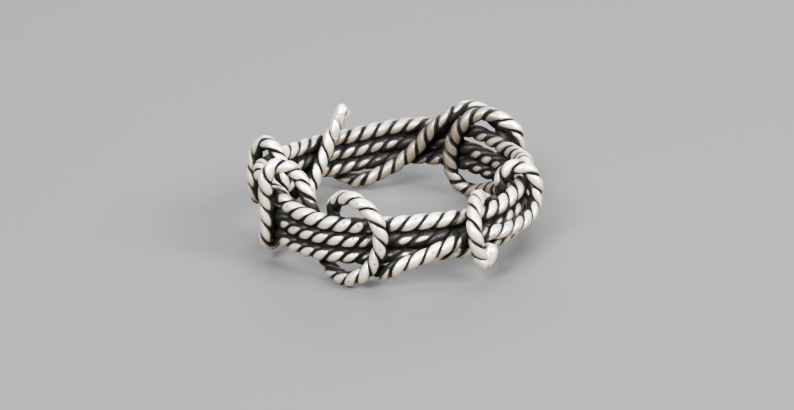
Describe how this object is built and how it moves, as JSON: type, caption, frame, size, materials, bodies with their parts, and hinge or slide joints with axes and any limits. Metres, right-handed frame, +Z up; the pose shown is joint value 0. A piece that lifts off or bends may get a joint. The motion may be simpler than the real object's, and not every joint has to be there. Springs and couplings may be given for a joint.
{
  "type": "rope twist finger ring",
  "caption": "Finger ring of twisted silver rope: closed rows stacked one above the other, bound by winding hitches and loops that end in melted beads.",
  "frame": {"origin": "on the ring's axis, at the plane that the ring rests on when it lies on its side", "axes": "+Z up along the ring's axis, +X to the right and +Y to the back of the picture's view"},
  "size_m": [0.0235, 0.0244, 0.0088],
  "materials": {
    "silver": "oxidised silver, dark in the grooves and worn bright on the high wires"
  },
  "bodies": {
    "root": {"top_row": "silver", "middle_row": "silver", "bottom_row": "silver", "slant_rope": "silver", "loop_rope": "silver"}
  },
  "joints": []
}
